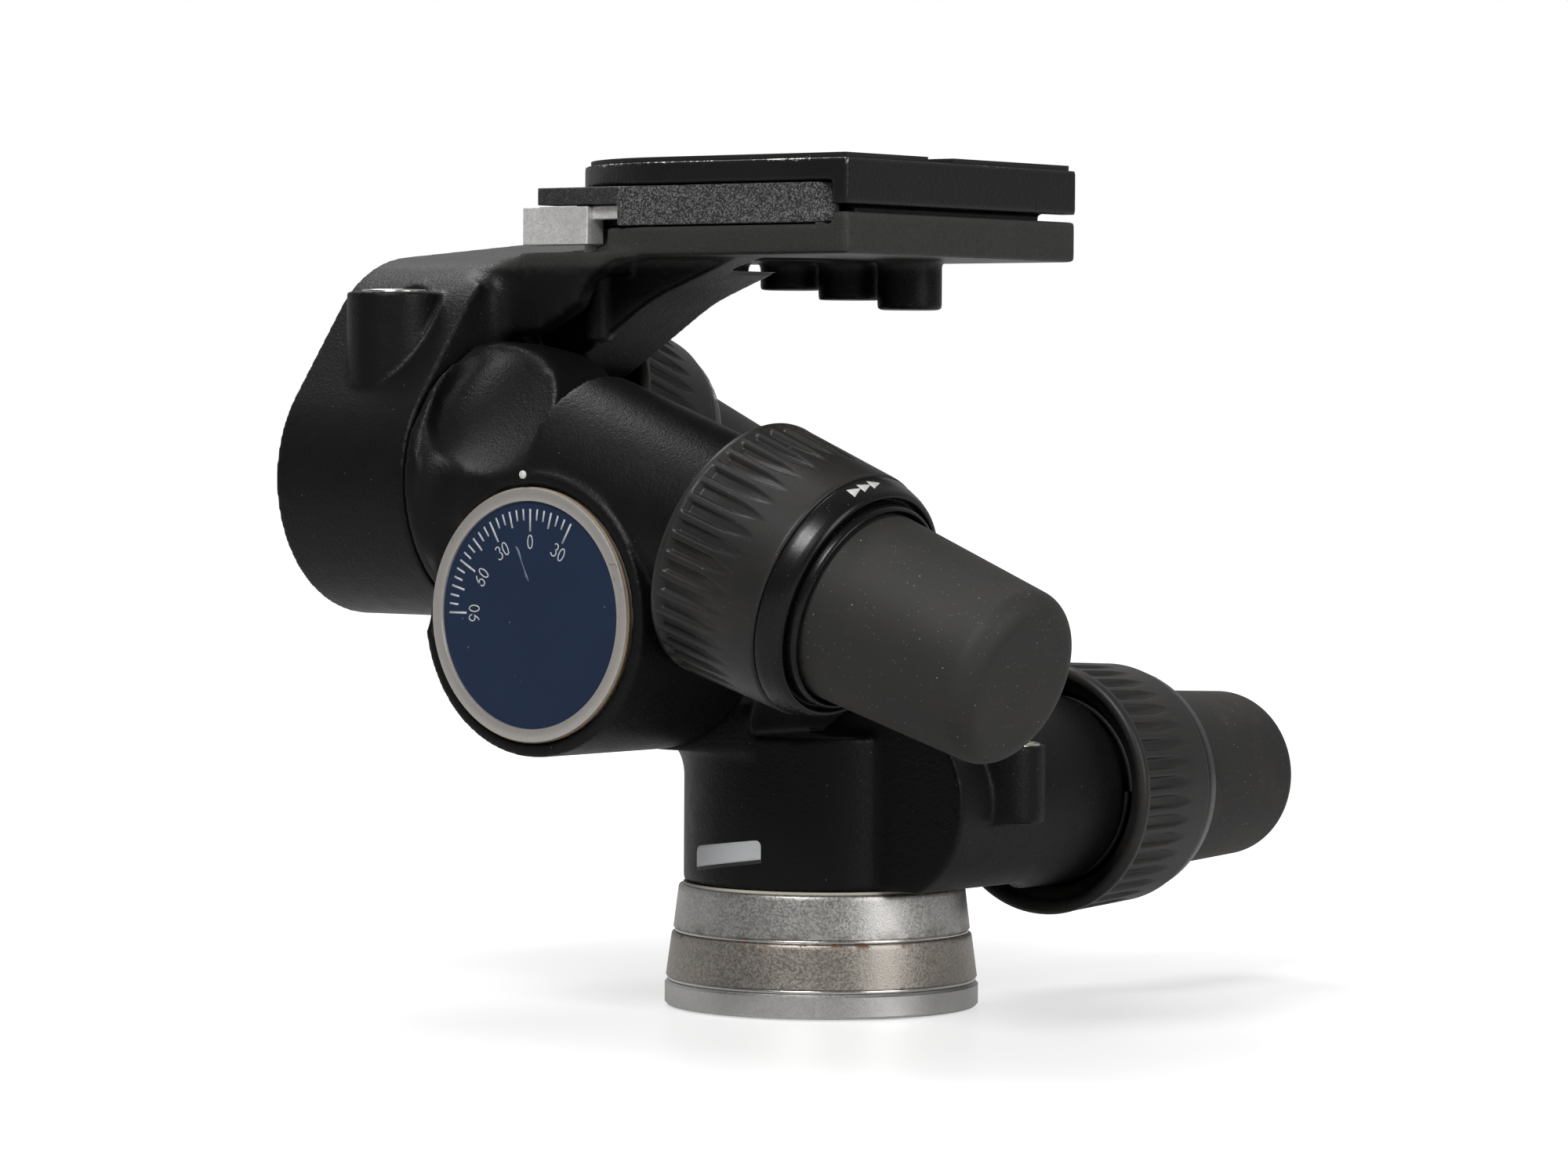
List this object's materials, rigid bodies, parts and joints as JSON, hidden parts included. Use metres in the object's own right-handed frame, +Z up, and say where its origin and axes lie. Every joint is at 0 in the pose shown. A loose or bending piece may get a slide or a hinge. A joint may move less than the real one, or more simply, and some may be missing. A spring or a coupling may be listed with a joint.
{
  "type": "geared tripod head",
  "caption": "Geared tripod head: worm-driven pan, roll and tilt, each with a release collar, and a quick-release camera plate on top.",
  "frame": {"origin": "on the pan axis, at the mouth of the tripod thread in the foot's bottom face", "axes": "+Z up along the pan axis, +X towards the roll knob (right), -Y towards the front, where the roll dial faces; the tilt dial faces -X"},
  "size_m": [0.1719, 0.1746, 0.1606],
  "materials": {
    "black_paint": "satin",
    "satin_alloy": "satin",
    "steel": "satin",
    "bright_catch": "satin",
    "bronze": "satin",
    "bearing_plastic": "matte",
    "collar_plastic": "satin",
    "ring_plastic": "glossy",
    "core_plastic": "matte",
    "grip_rubber": "matte",
    "pad_rubber": "matte",
    "dial_metal": "satin",
    "dial_blue": "satin",
    "vial": "clear"
  },
  "bodies": {
    "base": {"base_foot": "satin_alloy", "base_mid_ring": "satin_alloy", "base_top_ring": "satin_alloy", "tripod_insert": "steel", "pan_axle": "steel", "base_screws": "steel", "pan_thrust_washer": "bearing_plastic", "pan_wheel": "bronze", "pan_retainer": "steel"},
    "pan_housing_body": {"pan_housing": "black_paint", "pan_bush": "bearing_plastic", "pan_worm_bush": "bearing_plastic", "pan_return_spring": "steel", "pan_level_vial": "vial", "pan_level_ring": "dial_metal", "roll_axle": "steel", "roll_wheel": "bronze", "roll_dial_ring": "dial_metal", "roll_dial_face": "dial_blue", "roll_axle_screws": "steel"},
    "pan_knob": {"pan_worm_shaft": "steel", "pan_grip": "grip_rubber", "pan_knob_core": "core_plastic"},
    "pan_release": {"pan_collar": "collar_plastic", "pan_collar_ring": "ring_plastic"},
    "roll_body": {"mid_body": "black_paint", "roll_bush": "bearing_plastic", "roll_worm_bush": "bearing_plastic", "roll_return_spring": "steel", "tilt_axle": "steel", "tilt_wheel": "bronze", "tilt_dial_ring": "dial_metal", "tilt_dial_face": "dial_blue", "tilt_axle_screws": "steel"},
    "roll_knob": {"roll_worm_shaft": "steel", "roll_grip": "grip_rubber", "roll_knob_core": "core_plastic"},
    "roll_release": {"roll_collar": "collar_plastic", "roll_collar_ring": "ring_plastic"},
    "tilt_body": {"bracket": "black_paint", "tilt_bush": "bearing_plastic", "tilt_worm_bush": "bearing_plastic", "tilt_return_spring": "steel", "bracket_level_vial": "vial", "bracket_level_ring": "dial_metal", "lever_pivot": "steel"},
    "tilt_knob": {"tilt_worm_shaft": "steel", "tilt_grip": "grip_rubber", "tilt_knob_core": "core_plastic"},
    "tilt_release": {"tilt_collar": "collar_plastic", "tilt_collar_ring": "ring_plastic"},
    "plate": {"camera_plate": "black_paint", "pad_front": "pad_rubber", "pad_back": "pad_rubber"},
    "screw_carrier": {"screw_clip": "steel"},
    "screw": {"camera_screw": "steel"},
    "screw_ring": {"screw_key": "steel"},
    "lever": {"lock_lever": "black_paint"},
    "catch": {"safety_catch": "bright_catch"}
  },
  "joints": [
    {"name": "pan", "type": "hinge", "parent": "base", "child": "pan_housing_body", "pos_m": [0, 0, 0.0403], "axis": [0, 0, 1], "continuous": true},
    {"name": "pan_knob_turn", "type": "hinge", "parent": "pan_housing_body", "child": "pan_knob", "pos_m": [0.0236, 0, 0.0403], "axis": [0, 1, 0], "continuous": true},
    {"name": "pan_release_turn", "type": "hinge", "parent": "pan_housing_body", "child": "pan_release", "pos_m": [0.0236, 0.05, 0.0403], "axis": [0, 1, 0], "range_deg": [0, 40], "stiffness_Nm_per_rad": 0.15},
    {"name": "roll", "type": "hinge", "parent": "pan_housing_body", "child": "roll_body", "pos_m": [-0.0193, -0.0438, 0.0755], "axis": [0, 1, 0], "range_deg": [-90, 30]},
    {"name": "roll_knob_turn", "type": "hinge", "parent": "roll_body", "child": "roll_knob", "pos_m": [-0.01123, -0.0438, 0.09768], "axis": [0.9397, 0, -0.342], "range_deg": [-3260, 1100]},
    {"name": "roll_release_turn", "type": "hinge", "parent": "roll_body", "child": "roll_release", "pos_m": [-0.01123, -0.0438, 0.09768], "axis": [0.9397, 0, -0.342], "range_deg": [0, 40], "stiffness_Nm_per_rad": 0.15},
    {"name": "tilt", "type": "hinge", "parent": "roll_body", "child": "tilt_body", "pos_m": [-0.0652, -0.0399, 0.0999], "axis": [-1, 0, 0], "range_deg": [-90, 30]},
    {"name": "tilt_knob_turn", "type": "hinge", "parent": "tilt_body", "child": "tilt_knob", "pos_m": [-0.0652, -0.03261, 0.12234], "axis": [0, 0.9511, -0.309], "range_deg": [-3260, 1100]},
    {"name": "tilt_release_turn", "type": "hinge", "parent": "tilt_body", "child": "tilt_release", "pos_m": [-0.0652, -0.03261, 0.12234], "axis": [0, 0.9511, -0.309], "range_deg": [0, 40], "stiffness_Nm_per_rad": 0.15},
    {"name": "plate_lift", "type": "slide", "parent": "tilt_body", "child": "plate", "axis": [0, 0, 1], "range_m": [0, 0.03]},
    {"name": "screw_rise", "type": "slide", "parent": "plate", "child": "screw_carrier", "axis": [0, 0, 1], "range_m": [0, 0.0055]},
    {"name": "screw_turn", "type": "hinge", "parent": "screw_carrier", "child": "screw", "pos_m": [-0.006, -0.008, 0.152], "axis": [0, 0, 1], "continuous": true},
    {"name": "screw_ring_fold", "type": "hinge", "parent": "screw", "child": "screw_ring", "pos_m": [-0.006, -0.008, 0.1475], "axis": [-1, 0, 0], "range_deg": [0, 90]},
    {"name": "lever_swing", "type": "hinge", "parent": "tilt_body", "child": "lever", "pos_m": [0.026, -0.0349, 0.1516], "axis": [0, 0, 1], "range_deg": [0, 55]},
    {"name": "catch_press", "type": "slide", "parent": "lever", "child": "catch", "axis": [1, 0, 0], "range_m": [0, 0.0025], "stiffness_N_per_m": 400, "springref_m": -0.002}
  ],
  "couplings": [
    {"joint": "pan_knob_turn", "follows": "pan", "ratio": 36},
    {"joint": "roll_knob_turn", "follows": "roll", "ratio": 36},
    {"joint": "tilt_knob_turn", "follows": "tilt", "ratio": 36}
  ]
}
